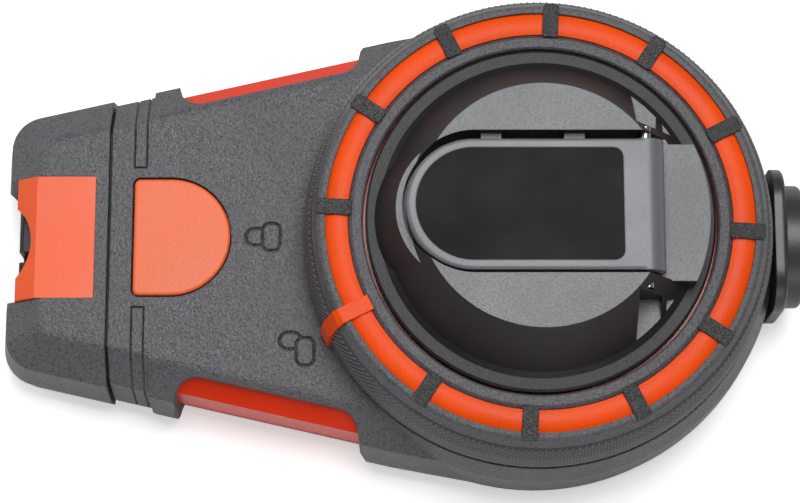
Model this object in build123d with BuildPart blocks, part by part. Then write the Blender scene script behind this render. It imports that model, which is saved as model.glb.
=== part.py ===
from build123d import *
import math
import os

os.makedirs("parts", exist_ok=True)

# Chalk line reel with a geared fold-away crank. Millimetres throughout. The origin is on the
# drum axis at the resting back, +Z points to the crank side and -X to the mouth.

# ---- Driving dimensions: the two-shell body ----
BODY_TOP = 30.0
SPLIT_Z = 11.0          # parting line of the two shells
CREASE_Z = 23.0         # where the side turns into the sloped shoulder of the section
FOOT_Z = 2.5
DRUM_R = 63.3
NOSE_X = -140.0
SEAM_X = -111.0         # joint between the pull-off nose and the body
SEAM_HALF = 40.6
FLARE_DEG = 12.85
SHOULDER_X = -38.0
NOSE_CORNER_R = 10.0
SEAM_GAP = 0.8
SIDE_DRAFT = 2.1
TOP_SLOPE = 11.2        # inset of the flat top's edge
TOP_EDGE_R = 4.0
BACK_EDGE = 3.4
SKIN = 2.0              # overmould on flat faces
SIDE_SKIN = 4.2         # overmould on the sides
WALL = 2.5
PARTING_V = 0.5         # groove along the cores' parting line
DECK_Z = 25.5           # underside of the top deck
FLOOR_Z = SKIN + WALL

# ---- Clearances ----
RUN = 0.08              # running fits, radial
SLIDE = 0.3             # sliding and moving neighbours
GAP = 0.4               # button and ring gaps

# ---- Side grip windows ----
WINDOW_X = (-93.0, -47.0)
WINDOW_INSET = 9.6
WINDOW_CORNER_R = 6.0
WINDOW_FOOT_Z = -1.0    # the windows run out through the foot
RELIEF_X = -100.4       # end of the shallow finger relief behind the seam
RELIEF_DEPTH = 1.3
BAR_X = (-104.9, -101.3)
BAR_INNER_Y = 18.6
BAR_LINE = 0.45

# ---- Tail socket and plug ----
COLLAR_X = (61.3, 64.5)
COLLAR_HALF = 19.0
COLLAR_Z = (1.0, 35.0)
COLLAR_CORNER_R = 10.0
PORT_Z = 18.0
PORT_R = 7.6
SOCKET_R = 9.4
SOCKET_DEPTH_X = 54.0
CAP_R = 16.2
CAP_END_X = 69.8

# ---- Axle, spool and line ----
AXLE_R = 3.0
SPOOL_R = 16.0
FLANGE_R = 40.0
SPOOL_Z = (5.5, 23.5)
FLANGE_T = 1.6
WINDING_R = 34.8
LINE_R = 0.6
LINE_Y = -3.7
LINE_Z = 12.0
GUIDE_X = -60.0
GUIDE_PIN_R = 2.4
LEAD_END_X = -66.0
THRUST_R = 7.0
THRUST_BOSS = 0.2
SHAFT_BORE_R = 5.6
FELT_SEAT_R = 9.6
FELT_SEAT_TOP = 28.6

# ---- Planetary gears ----
MODULE = 1.0
SUN_TEETH = 12
PLANET_TEETH = 24
RING_TEETH = 60
ADDENDUM = 0.8
DEDENDUM = 1.05
PRESSURE_DEG = 20.0
BACKLASH = 0.24
PLANET_COUNT = 3
FIRST_PLANET_DEG = 60.0
GEAR_FLOOR_Z = 30.8
GEAR_Z = (31.2, 38.2)
RING_GEAR_R = 34.5
PLANET_PIN_R = 2.0

# ---- Turret, hub and crank ----
TURRET_R = (42.5, 45.0)
TURRET_TOP = 46.2
BEARING_R = 47.5
BEARING_TOP = 37.5
HUB_SKIRT_R = (37.6, 40.0)
HUB_SKIRT_Z = 37.2
HUB_FLANGE_R = 44.2
HUB_FLANGE_Z = 46.8
HUB_RIM_Z = 50.4
HUB_TOP = 66.0
PLATEAU_R = 30.9
CONE_FOOT_R = 39.4
HUB_WALL = 2.4
BASE_Z = (41.0, 43.0)
CARRIER_Z = 38.6
ARM_END_X = -17.3
ARM_HALF = 16.6
ARM_Z = (59.0, 66.5)
HINGE_X = 25.5
HINGE_Z = 62.0
HINGE_PIN_R = 1.5
SLOT_Y = (-17.2, 18.8)
SLOT_FLOOR = 57.0
KNOB_R = 12.2
KNOB_Z = (44.2, 58.5)
LOBE_TOP = 62.0
LOBE_R = (24.5, 19.2)   # at the hub rim and at the lobe's top

# ---- Lock ring ----
RING_FOOT_Z = 30.6
RING_TOP = 50.0
RING_OUT_R = 60.2
RING_RIM_R = 56.0
RING_IN_R = 44.8
CHANNEL_R = (48.6, 54.3)
CHANNEL_Z = 47.4
CHANNEL_SLOPE = 1.1     # slope of the inner band towards the inlay
INLAY_EDGE_Z = (49.5, 49.2)
INLAY_CROWN = (51.0, 49.9)
COLLAR_RING_R = (47.6, 49.6)
RIB_COUNT = 12
RIB_WIDTH = 4.0
RIB_PHASE_DEG = 86.5
POINTER_DEG = 206.5
LOCK_TURN_DEG = 25.5
SHOE_DEG = 150.0
SHOE_TRAVEL = 1.8
SHOE_Z = (38.8, 42.8)
SHOE_HALF = 3.0

# ---- Padlock marks on the deck ----
PADLOCK_LINE = 0.8
PADLOCK_DEPTH = 0.4
PADLOCK_OPEN_SHIFT = 2.8
PADLOCK_BODY = (5.4, 8.0)
PADLOCK_BODY_R = 2.2
PADLOCK_SHACKLE = (6.4, 5.2)
CLOSED_MARK = (-71.0, 0.0)
OPEN_MARK = (-62.0, -30.2)

# ---- Release button ----
BUTTON_X = (-104.6, -79.5)
BUTTON_HALF = 15.5
BUTTON_Z = (26.9, 30.2)
TRAY_FLOOR = (22.9, 24.4)
TRAY_WALL = 1.6
SPRING_X = -88.5
SPRING_R = 2.6
SPRING_Z = (16.8, 28.6)
SPRING_WIRE = 0.35
SPRING_CUP_R = 3.6
CATCH_X = (-99.6, -97.8)
CATCH_Y = (7.6, 9.6)
TONGUE_HALF = 7.0
TONGUE_Z = (19.6, 22.2)
TONGUE_END_X = -94.5

# ---- Nose and hook ----
MOUTH_HALF = 16.2
POCKET_HALF = 14.2
POCKET_BACK_X = -125.6
POCKET_TOP = 25.0
INSERT_BACK_X = -114.7
INSERT_EDGE_X = -130.0
INSERT_FRONT_X = -135.6
NOTCH_R = 12.4
NOTCH_DEPTH = 4.2
SPIGOT_END_X = -107.4
CHAMBER_X = -122.0
FELT_T = 4.2
HOOK_X = -135.4
HOOK_HALF = 12.6
HOOK_Z = (3.0, 22.6)
STEEL = 1.6

# ---- Screws ----
SCREW_R = 1.5
SCREW_HEAD_R = 3.0
BOSS_R = 4.2
SCREW_RADIUS = 50.5
NECK_SCREW = (-86.0, 26.5)

SLOPE = math.tan(math.radians(FLARE_DEG))
TANGENT_X = -DRUM_R * math.sin(math.radians(FLARE_DEG))
TANGENT_HALF = DRUM_R * math.cos(math.radians(FLARE_DEG))
NECK_FACE_X = SEAM_X + SEAM_GAP / 2
NOSE_FACE_X = SEAM_X - SEAM_GAP / 2
HUGE = 400.0


def half_width(x):
    """Half width of the flared body at the parting line."""
    return SEAM_HALF + SLOPE * (x - SEAM_X)


def wedge_section(z, inset):
    """Plan outline of nose and neck at one height, drawn in by the inset."""
    front = NOSE_X + inset
    side = [(front, half_width(front) - inset),
            (SHOULDER_X, half_width(SHOULDER_X) - inset),
            (TANGENT_X, TANGENT_HALF - inset)]
    other_side = [(x, -y) for x, y in reversed(side)]
    with BuildSketch(Plane.XY.offset(z)) as section:
        Polygon(*side, *other_side, align=None)
        fillet(section.vertices().group_by(Axis.X)[0], NOSE_CORNER_R - inset / 2)
    return section.sketch


def blank(levels, edge_r=0.0):
    """Solid wedge and drum through (height, side inset, drum inset) levels."""
    bottom = levels[0][0]
    top = levels[-1][0]
    sections = [wedge_section(z, inset) for z, inset, _ in levels]
    with BuildPart() as solid:
        loft(sections=sections, ruled=True)
        if edge_r:
            rim = solid.edges().filter_by(lambda e: e.center().Z > top - 0.01)
            fillet(rim.filter_by(lambda e: e.center().X < TANGENT_X - 1), edge_r)
        with BuildSketch(Plane.XZ):
            Polygon((0, bottom), *[(DRUM_R - inset, z) for z, _, inset in levels], (0, top), align=None)
        revolve(axis=Axis.Z)
    return solid.part


def slab(x_low, x_high, half=HUGE, z_low=-HUGE, z_high=HUGE, y_mid=0.0):
    """Box between two X positions, used to cut or to keep a stretch of a blank."""
    with BuildPart() as box:
        with Locations(((x_low + x_high) / 2, y_mid, (z_low + z_high) / 2)):
            Box(x_high - x_low, 2 * half, z_high - z_low)
    return box.part


def tube(r_in, r_out, z_low, z_high, x=0.0, y=0.0):
    """Upright tube, or a plain cylinder where the inner radius is zero."""
    with BuildPart() as ring:
        with BuildSketch(Plane.XY.offset(z_low)):
            with Locations((x, y)):
                Circle(r_out)
                if r_in:
                    Circle(r_in, mode=Mode.SUBTRACT)
        extrude(amount=z_high - z_low)
    return ring.part


def tube_x(r_in, r_out, x_low, x_high, y, z):
    """Tube along X."""
    with BuildPart() as ring:
        with BuildSketch(Plane.YZ.offset(x_low)):
            with Locations((y, z)):
                Circle(r_out)
                if r_in:
                    Circle(r_in, mode=Mode.SUBTRACT)
        extrude(amount=x_high - x_low)
    return ring.part


def sector(r_in, r_out, z_low, z_high, middle_deg, width_deg):
    """Curved block of a ring between two radii."""
    start = math.radians(middle_deg - width_deg / 2)
    middle = math.radians(middle_deg)
    end = math.radians(middle_deg + width_deg / 2)

    def at(radius, angle):
        return (radius * math.cos(angle), radius * math.sin(angle))

    with BuildPart() as block:
        with BuildSketch(Plane.XY.offset(z_low)):
            with BuildLine():
                ThreePointArc(at(r_in, start), at(r_in, middle), at(r_in, end))
                Line(at(r_in, end), at(r_out, end))
                ThreePointArc(at(r_out, end), at(r_out, middle), at(r_out, start))
                Line(at(r_out, start), at(r_in, start))
            make_face()
        extrude(amount=z_high - z_low)
    return block.part


def revolved(points):
    """Solid of revolution about the drum axis from (radius, height) points."""
    with BuildPart() as solid:
        with BuildSketch(Plane.XZ):
            Polygon(*points, align=None)
        revolve(axis=Axis.Z)
    return solid.part


def write(piece, name):
    """Label one finished sub-part and write its STEP file."""
    piece.part.label = name
    export_step(piece.part, f"parts/{name}.step")


# ---- Shared blanks: skins, cores and the chalk cavity ----
OUTER_UP = [(SPLIT_Z, 0.0, 0.0), (CREASE_Z, SIDE_DRAFT, 0.4), (BODY_TOP, TOP_SLOPE, 2.7)]
OUTER_DOWN = [(0.0, BACK_EDGE, BACK_EDGE), (FOOT_Z, 0.9, 0.7), (SPLIT_Z, 0.0, 0.0)]
CORE_UP = [(SPLIT_Z, SIDE_SKIN + PARTING_V, 2.3 + PARTING_V), (SPLIT_Z + PARTING_V, SIDE_SKIN, 2.3),
           (CREASE_Z - 0.5, SIDE_SKIN + 0.8, 2.6), (BODY_TOP - SKIN, TOP_SLOPE + 0.8, 3.2)]
CORE_DOWN = [(SKIN, SIDE_SKIN + 1.0, 2.8), (SPLIT_Z, SIDE_SKIN, 2.3)]


def cavity_levels(shrink):
    """Levels of the chalk cavity, upper and lower, drawn in all round by shrink."""
    side = SIDE_SKIN + WALL + shrink
    drum = 2.3 + WALL + shrink
    upper = [(SPLIT_Z, side, drum), (CREASE_Z - 2.0, side + 0.8, drum + 0.3),
             (DECK_Z - shrink, TOP_SLOPE + 1.4 + shrink, drum + 0.5)]
    lower = [(FLOOR_Z + shrink, side + 0.7, drum + 0.4), (SPLIT_Z, side, drum)]
    return upper, lower


outer_up = blank(OUTER_UP, TOP_EDGE_R)
outer_down = blank(OUTER_DOWN)
core_up = blank(CORE_UP)
core_down = blank(CORE_DOWN)
cavity_up, cavity_down = [blank(levels) for levels in cavity_levels(0.0)]
spigot_up, spigot_down = [blank(levels) for levels in cavity_levels(SLIDE)]
spigot_in_up, spigot_in_down = [blank(levels) for levels in cavity_levels(SLIDE + 1.8)]

body_stretch = slab(NECK_FACE_X, HUGE)
nose_stretch = slab(-HUGE, NOSE_FACE_X)

# Grip windows: the overmould is cut away from the sides, leaving the rails of the core bare.
with BuildPart() as windows:
    with BuildSketch(Plane.XY.offset(WINDOW_FOOT_Z)) as window_plan:
        start_x, end_x = WINDOW_X
        Polygon((start_x, half_width(start_x) - WINDOW_INSET), (end_x, half_width(end_x) - WINDOW_INSET),
                (end_x + 1.0, half_width(end_x) - 3.0), (end_x + 5.0, half_width(end_x) + 4.0),
                (start_x - 4.5, half_width(start_x) + 4.0), (start_x - 1.0, half_width(start_x) - 2.0),
                align=None)
        inner = sorted(window_plan.vertices(), key=lambda corner: corner.Y - half_width(corner.X))
        fillet(inner[:2], WINDOW_CORNER_R)
    extrude(amount=BODY_TOP - 2 * WINDOW_FOOT_Z)
    mirror(about=Plane.XZ)

# Shallow relief and two raised-bar outlines that wrap from the top over each side.
with BuildPart() as relief_skin:
    add(blank([(z, inset + RELIEF_DEPTH, drum) for z, inset, drum in OUTER_UP[:2]]
              + [(BODY_TOP + 0.5, TOP_SLOPE + RELIEF_DEPTH, 2.7)]))
    add(blank([(-0.5, BACK_EDGE + RELIEF_DEPTH, 2.7), (FOOT_Z, 0.9 + RELIEF_DEPTH, 0.7),
               (SPLIT_Z, RELIEF_DEPTH, 0.0)]))
with BuildPart() as relief:
    add(slab(NECK_FACE_X - 1, RELIEF_X))
    add(relief_skin.part, mode=Mode.SUBTRACT)
with BuildPart() as groove_skin:
    add(blank([(SPLIT_Z, RELIEF_DEPTH + 0.5, 0.0), (CREASE_Z, SIDE_DRAFT + RELIEF_DEPTH + 0.5, 0.4),
               (BODY_TOP - 0.5, TOP_SLOPE + RELIEF_DEPTH, 2.7)]))
with BuildPart() as bar_grooves:
    for side in (1, -1):
        for x in (BAR_X[0], BAR_X[1] - BAR_LINE):
            add(slab(x, x + BAR_LINE, 15.0, SPLIT_Z, BODY_TOP + 5, side * (BAR_INNER_Y + 15.0)))
        add(slab(BAR_X[0], BAR_X[1], BAR_LINE / 2, SPLIT_Z, BODY_TOP + 5, side * BAR_INNER_Y))
    add(groove_skin.part, mode=Mode.SUBTRACT)

screw_spots = [(SCREW_RADIUS * math.cos(math.radians(a)), SCREW_RADIUS * math.sin(math.radians(a)))
               for a in (45, 135, 225, 315)]
screw_spots += [NECK_SCREW, (NECK_SCREW[0], -NECK_SCREW[1])]


def button_plan(grow):
    """D-shaped plan of the release button, grown by a clearance or wall."""
    with BuildSketch() as plan:
        with BuildLine():
            flat = BUTTON_X[0] - grow
            half = BUTTON_HALF + grow
            turn = BUTTON_X[1] - BUTTON_HALF
            Polyline((turn, half), (flat, half), (flat, -half), (turn, -half))
            ThreePointArc((turn, -half), (turn + half, 0), (turn, half))
        make_face()
        fillet(plan.vertices().group_by(Axis.X)[0], 1.6 + grow)
    return plan.sketch


def button_block(grow, z_low, z_high):
    """Upright block with the button's plan."""
    with BuildPart() as block:
        with BuildSketch(Plane.XY.offset(z_low)):
            add(button_plan(grow))
        extrude(amount=z_high - z_low)
    return block.part


# Inside the body the line bends round a guide pin and runs tangent to the winding.
tangent_r = WINDING_R + LINE_R + SLIDE
guide_distance = math.hypot(GUIDE_X, LINE_Y)
to_axis = math.atan2(-LINE_Y, -GUIDE_X)
bend = math.asin(tangent_r / guide_distance) - to_axis
run_length = math.sqrt(guide_distance ** 2 - tangent_r ** 2)
run_end = (GUIDE_X + run_length * math.cos(bend), LINE_Y - run_length * math.sin(bend))
bend_r = GUIDE_PIN_R + LINE_R + 0.1
pin_offset = bend_r / math.cos(bend / 2)
guide_pin_spot = (GUIDE_X - pin_offset * math.sin(bend / 2), LINE_Y - pin_offset * math.cos(bend / 2))


# ================= Housing =================
with BuildPart() as rear_overmold:
    add(outer_down)
    add(core_down, mode=Mode.SUBTRACT)
    add(body_stretch, mode=Mode.INTERSECT)
    add(windows.part, mode=Mode.SUBTRACT)
    add(relief.part, mode=Mode.SUBTRACT)
    for x, y in screw_spots:
        add(tube(0, SCREW_HEAD_R + GAP, -1, SKIN + 1, x, y), mode=Mode.SUBTRACT)
    add(tube_x(0, SOCKET_R, SOCKET_DEPTH_X, HUGE, 0, PORT_Z), mode=Mode.SUBTRACT)
write(rear_overmold, "rear_overmold")

with BuildPart() as rear_core:
    add(core_down)
    add(cavity_down, mode=Mode.SUBTRACT)
    add(tube(0, THRUST_R, FLOOR_Z - 1, FLOOR_Z + THRUST_BOSS))
    add(tube(0, GUIDE_PIN_R + 2.0, FLOOR_Z - 1, FLOOR_Z + 2.0, *guide_pin_spot))
    for x, y in screw_spots:
        add(tube(0, BOSS_R, FLOOR_Z - 1, SPLIT_Z, x, y))
    add(body_stretch, mode=Mode.INTERSECT)
    for x, y in screw_spots:
        add(tube(0, SCREW_HEAD_R + SLIDE, 0, FLOOR_Z, x, y), mode=Mode.SUBTRACT)
        add(tube(0, SCREW_R + SLIDE, 0, SPLIT_Z + 1, x, y), mode=Mode.SUBTRACT)
    add(tube(0, AXLE_R, 0, 10), mode=Mode.SUBTRACT)
    add(tube(0, GUIDE_PIN_R, FLOOR_Z, SPLIT_Z, *guide_pin_spot), mode=Mode.SUBTRACT)
    add(tube_x(0, SOCKET_R, SOCKET_DEPTH_X, HUGE, 0, PORT_Z), mode=Mode.SUBTRACT)
write(rear_core, "rear_core")

gear_seat_keys = [sector(RING_GEAR_R - 1, RING_GEAR_R + 1.4, GEAR_Z[0] - 0.4, GEAR_Z[0] + 2, a, 8)
                  for a in (0, 120, 240)]
shoe_plane = Plane.XY.rotated((0, 0, SHOE_DEG))

with BuildPart(shoe_plane) as shoe_window:
    with Locations((TURRET_R[1], 0, (SHOE_Z[0] + SHOE_Z[1]) / 2)):
        Box(8.0, 2 * (SHOE_HALF + 0.2), SHOE_Z[1] - SHOE_Z[0] + 0.4)

with BuildPart() as front_core:
    add(core_up)
    add(cavity_up, mode=Mode.SUBTRACT)
    for x, y in screw_spots:
        add(tube(0, BOSS_R, SPLIT_Z, DECK_Z + 1, x, y))
    add(button_block(GAP + TRAY_WALL, TRAY_FLOOR[0], DECK_Z + 1))
    add(tube(0, SPRING_CUP_R + TRAY_WALL, SPRING_Z[0] - 1.8, TRAY_FLOOR[0] + 1, SPRING_X, 0))
    add(tube(0, BEARING_R, DECK_Z, BEARING_TOP))
    add(tube(0, TURRET_R[1], BEARING_TOP - 1, TURRET_TOP))
    for middle in (30, 150, 270):
        add(sector(TURRET_R[1] - 1, TURRET_R[1] + 1.9, 43.4, 45.4, middle, 44))
    add(tube(0, TURRET_R[0], GEAR_FLOOR_Z, TURRET_TOP + 1), mode=Mode.SUBTRACT)
    add(tube(RING_GEAR_R, RING_GEAR_R + 2.1, GEAR_FLOOR_Z - 1, GEAR_Z[1] + 0.1))
    add(body_stretch, mode=Mode.INTERSECT)
    add(button_block(GAP, TRAY_FLOOR[1], HUGE), mode=Mode.SUBTRACT)
    for side in (1, -1):
        middle_y = side * (CATCH_Y[0] + CATCH_Y[1]) / 2
        add(slab(CATCH_X[0] - GAP, CATCH_X[1] + GAP, (CATCH_Y[1] - CATCH_Y[0]) / 2 + GAP,
                 TRAY_FLOOR[0] - 1, TRAY_FLOOR[1] + 1, middle_y), mode=Mode.SUBTRACT)
    add(tube(0, SPRING_CUP_R, SPRING_Z[0], TRAY_FLOOR[1] + 1, SPRING_X, 0), mode=Mode.SUBTRACT)
    add(tube(0, FELT_SEAT_R, DECK_Z - 1, FELT_SEAT_TOP), mode=Mode.SUBTRACT)
    add(tube(0, SHAFT_BORE_R, DECK_Z, GEAR_FLOOR_Z + 1), mode=Mode.SUBTRACT)
    for key in gear_seat_keys:
        add(key, mode=Mode.SUBTRACT)
    add(shoe_window.part, mode=Mode.SUBTRACT)
    for x, y in screw_spots:
        add(tube(0, SCREW_R, SPLIT_Z - 1, 21.0, x, y), mode=Mode.SUBTRACT)
    add(tube_x(0, SOCKET_R, SOCKET_DEPTH_X, HUGE, 0, PORT_Z), mode=Mode.SUBTRACT)
write(front_core, "front_core")


def padlock_groove(x, y, open_shackle):
    """Engraved outline of a padlock lying along X, its shackle towards the mouth."""
    shift = PADLOCK_OPEN_SHIFT if open_shackle else 0.0
    with BuildPart() as groove:
        with BuildSketch(Plane.XY.offset(BODY_TOP - PADLOCK_DEPTH)):
            with Locations((x - 1.6, y + shift)):
                SlotOverall(*PADLOCK_SHACKLE)
                SlotOverall(*[side - 2 * PADLOCK_LINE for side in PADLOCK_SHACKLE], mode=Mode.SUBTRACT)
            with Locations((x + 2.2, y)):
                RectangleRounded(*PADLOCK_BODY, PADLOCK_BODY_R)
                RectangleRounded(*[side - 2 * PADLOCK_LINE for side in PADLOCK_BODY],
                                 PADLOCK_BODY_R - PADLOCK_LINE, mode=Mode.SUBTRACT)
        extrude(amount=1)
    return groove.part


with BuildPart() as front_overmold:
    add(outer_up)
    add(core_up, mode=Mode.SUBTRACT)
    add(body_stretch, mode=Mode.INTERSECT)
    add(windows.part, mode=Mode.SUBTRACT)
    add(relief.part, mode=Mode.SUBTRACT)
    add(bar_grooves.part, mode=Mode.SUBTRACT)
    add(tube(0, BEARING_R, 0, HUGE), mode=Mode.SUBTRACT)
    add(button_block(GAP, 0, HUGE), mode=Mode.SUBTRACT)
    add(padlock_groove(*CLOSED_MARK, False), mode=Mode.SUBTRACT)
    add(padlock_groove(*OPEN_MARK, True), mode=Mode.SUBTRACT)
    add(tube_x(0, SOCKET_R, SOCKET_DEPTH_X, HUGE, 0, PORT_Z), mode=Mode.SUBTRACT)
write(front_overmold, "front_overmold")

with BuildPart() as tail_socket:
    with BuildSketch(Plane.YZ.offset(COLLAR_X[0])):
        with Locations((0, (COLLAR_Z[0] + COLLAR_Z[1]) / 2)):
            RectangleRounded(2 * COLLAR_HALF, COLLAR_Z[1] - COLLAR_Z[0], COLLAR_CORNER_R)
    extrude(amount=COLLAR_X[1] - COLLAR_X[0])
    fillet(tail_socket.faces().sort_by(Axis.X)[-1].edges(), 1.2)
    add(outer_up, mode=Mode.SUBTRACT)
    add(outer_down, mode=Mode.SUBTRACT)
    add(tube_x(0, SOCKET_R, SOCKET_DEPTH_X, COLLAR_X[1], 0, PORT_Z))
    add(tube_x(0, PORT_R, SOCKET_DEPTH_X - 1, HUGE, 0, PORT_Z), mode=Mode.SUBTRACT)
write(tail_socket, "tail_socket")

with BuildPart() as axle:
    add(tube(0, AXLE_R, SKIN, BASE_Z[1] + 0.9))
    add(tube(0, SCREW_R, BASE_Z[1] - 12, HUGE), mode=Mode.SUBTRACT)
write(axle, "axle")

with BuildPart() as axle_screw:
    add(tube(0, SCREW_R, BASE_Z[1] - 11, BASE_Z[1] + 1.5))
    add(tube(0, 5.0, BASE_Z[1] + 0.9, BASE_Z[1] + 3.6))
    add(slab(-3.6, 3.6, 0.5, BASE_Z[1] + 2.6, BASE_Z[1] + 4), mode=Mode.SUBTRACT)
write(axle_screw, "axle_screw")

with BuildPart() as axle_washer:
    add(tube(AXLE_R, 8.0, BASE_Z[1] + 0.1, BASE_Z[1] + 0.9))
write(axle_washer, "axle_washer")

with BuildPart() as thrust_washer:
    add(tube(AXLE_R, THRUST_R, FLOOR_Z + THRUST_BOSS, SPOOL_Z[0] - 0.1))
write(thrust_washer, "thrust_washer")

with BuildPart() as shaft_felt:
    add(tube(SHAFT_BORE_R - SLIDE, FELT_SEAT_R, DECK_Z + 0.6, FELT_SEAT_TOP))
write(shaft_felt, "shaft_felt")

for number, (x, y) in enumerate(screw_spots, start=1):
    with BuildPart() as housing_screw:
        add(tube(0, SCREW_R, FLOOR_Z - 1, 20.5, x, y))
        add(tube(0, SCREW_HEAD_R, SKIN + 0.2, FLOOR_Z, x, y))
        with BuildSketch(Plane.XY.offset(SKIN)):
            with Locations((x, y)):
                Rectangle(4.2, 0.8)
                Rectangle(0.8, 4.2)
        extrude(amount=1.2, mode=Mode.SUBTRACT)
    write(housing_screw, f"housing_screw_{number}")


with BuildPart() as guide_pin:
    add(tube(0, GUIDE_PIN_R, FLOOR_Z, LINE_Z + 4, *guide_pin_spot))
    fillet(guide_pin.edges().sort_by(Axis.Z)[-1], 0.8)
write(guide_pin, "guide_pin")

with BuildPart() as line_run:
    with BuildLine(Plane.XY.offset(LINE_Z)) as run_path:
        FilletPolyline((LEAD_END_X, LINE_Y), (GUIDE_X, LINE_Y), run_end, radius=bend_r)
    with BuildSketch(Plane.YZ.offset(LEAD_END_X)):
        with Locations((LINE_Y, LINE_Z)):
            Circle(LINE_R)
    sweep(path=run_path.line)
write(line_run, "line_run")

# The button's return spring is a round-wire helix between the tray cup and the button.
with BuildPart() as button_spring:
    with BuildLine() as coil:
        Helix(pitch=2.0, height=SPRING_Z[1] - SPRING_Z[0] - 2 * SPRING_WIRE, radius=SPRING_R,
              center=(SPRING_X, 0, SPRING_Z[0] + SPRING_WIRE))
    with BuildSketch(Plane(coil.line @ 0, z_dir=coil.line % 0)):
        Circle(SPRING_WIRE)
    sweep(path=coil.line, is_frenet=True)
write(button_spring, "button_spring")


# ================= Planetary gears =================
def tooth_outline(teeth, tip_r, root_r, thinning):
    """Points of one tooth centred on +X, with involute flanks sampled at four radii."""
    pitch_r = MODULE * teeth / 2
    base_r = pitch_r * math.cos(math.radians(PRESSURE_DEG))
    half_pitch_angle = math.pi / (2 * teeth) - thinning / (2 * pitch_r)

    def involute(radius):
        roll = math.acos(min(1.0, base_r / radius))
        return math.tan(roll) - roll

    samples = [max(base_r, root_r) + (tip_r - max(base_r, root_r)) * step / 4 for step in range(5)]
    flank = [(root_r - 0.3, half_pitch_angle + involute(pitch_r))]
    flank += [(r, half_pitch_angle + involute(pitch_r) - involute(r)) for r in samples]
    upper = [(r * math.cos(a), r * math.sin(a)) for r, a in flank]
    return upper + [(x, -y) for x, y in reversed(upper)]


def gear_sketch(teeth, tip_r, root_r, thinning, phase_deg, center=(0, 0)):
    """Flat gear profile."""
    with BuildSketch() as profile:
        with Locations(center):
            Circle(root_r)
        with Locations(center):
            with PolarLocations(0, teeth, start_angle=phase_deg):
                Polygon(*tooth_outline(teeth, tip_r, root_r, thinning), align=None)
    return profile.sketch


def pitch_radius(teeth):
    """Pitch radius of a gear."""
    return MODULE * teeth / 2


sun_pitch = pitch_radius(SUN_TEETH)
planet_pitch = pitch_radius(PLANET_TEETH)
ring_pitch = pitch_radius(RING_TEETH)
planet_orbit = sun_pitch + planet_pitch
planet_angles = [FIRST_PLANET_DEG + index * 360 / PLANET_COUNT for index in range(PLANET_COUNT)]
planet_spots = [(planet_orbit * math.cos(math.radians(a)), planet_orbit * math.sin(math.radians(a)))
                for a in planet_angles]

with BuildPart() as ring_gear:
    add(tube(0, RING_GEAR_R, GEAR_FLOOR_Z, GEAR_Z[1]))
    with BuildSketch(Plane.XY.offset(GEAR_FLOOR_Z)):
        add(gear_sketch(RING_TEETH, ring_pitch + DEDENDUM, ring_pitch - ADDENDUM, -BACKLASH,
                        180 / RING_TEETH))
    extrude(amount=GEAR_Z[1] - GEAR_FLOOR_Z, mode=Mode.SUBTRACT)
    for key in gear_seat_keys:
        add(key)
    add(tube(0, ring_pitch - ADDENDUM, 0, HUGE), mode=Mode.SUBTRACT)
write(ring_gear, "ring_gear")

for number, (spot, angle) in enumerate(zip(planet_spots, planet_angles), start=1):
    with BuildPart() as planet_gear:
        with BuildSketch(Plane.XY.offset(GEAR_Z[0])):
            add(gear_sketch(PLANET_TEETH, planet_pitch + ADDENDUM, planet_pitch - DEDENDUM, BACKLASH / 2,
                            angle + 180 / PLANET_TEETH, spot))
        extrude(amount=GEAR_Z[1] - 0.6 - GEAR_Z[0])
        add(tube(0, PLANET_PIN_R + RUN, 0, HUGE, *spot), mode=Mode.SUBTRACT)
    write(planet_gear, f"planet_gear_{number}")
    with BuildPart() as planet_pin:
        add(tube(0, PLANET_PIN_R, GEAR_FLOOR_Z + 0.2, BASE_Z[0], *spot))
    write(planet_pin, f"planet_pin_{number}")


# ================= Spool =================
with BuildPart() as spool:
    add(tube(0, FLANGE_R, SPOOL_Z[0], SPOOL_Z[0] + FLANGE_T))
    add(tube(0, SPOOL_R, SPOOL_Z[0], SPOOL_Z[1]))
    add(tube(0, FLANGE_R, SPOOL_Z[1] - FLANGE_T, SPOOL_Z[1]))
    add(tube(8.4, SPOOL_R - WALL, 0, SPOOL_Z[1] - WALL), mode=Mode.SUBTRACT)
    with BuildSketch(Plane.XY.offset(SPOOL_Z[1] - FLANGE_T)):
        with PolarLocations(FLANGE_R - 9, 6, start_angle=30):
            Circle(4.5)
    extrude(amount=FLANGE_T, mode=Mode.SUBTRACT)
    add(tube(0, AXLE_R + RUN, 0, HUGE), mode=Mode.SUBTRACT)
    for side in (1, -1):
        add(tube(0, 1.2, SPOOL_Z[1] - 3, HUGE, side * 5.8), mode=Mode.SUBTRACT)
write(spool, "spool")

with BuildPart() as line_winding:
    add(revolved([(SPOOL_R, SPOOL_Z[0] + FLANGE_T), (WINDING_R - 1.2, SPOOL_Z[0] + FLANGE_T),
                  (WINDING_R, SPOOL_Z[0] + FLANGE_T + 1.6), (WINDING_R, SPOOL_Z[1] - FLANGE_T - 1.6),
                  (WINDING_R - 1.2, SPOOL_Z[1] - FLANGE_T), (SPOOL_R, SPOOL_Z[1] - FLANGE_T)]))
write(line_winding, "line_winding")

with BuildPart() as sun_gear:
    with BuildSketch(Plane.XY.offset(GEAR_Z[0])):
        add(gear_sketch(SUN_TEETH, sun_pitch + ADDENDUM, sun_pitch - DEDENDUM, BACKLASH / 2, 0.0))
    extrude(amount=GEAR_Z[1] - GEAR_Z[0])
    add(tube(0, 5.0, SPOOL_Z[1], GEAR_Z[0]))
    add(tube(0, 8.0, SPOOL_Z[1], SPOOL_Z[1] + 1.6))
    for side in (1, -1):
        add(tube(0, 1.2, SPOOL_Z[1] - 2.8, SPOOL_Z[1] + 1, side * 5.8))
    add(tube(0, AXLE_R + RUN, 0, HUGE), mode=Mode.SUBTRACT)
write(sun_gear, "sun_gear")


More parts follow.
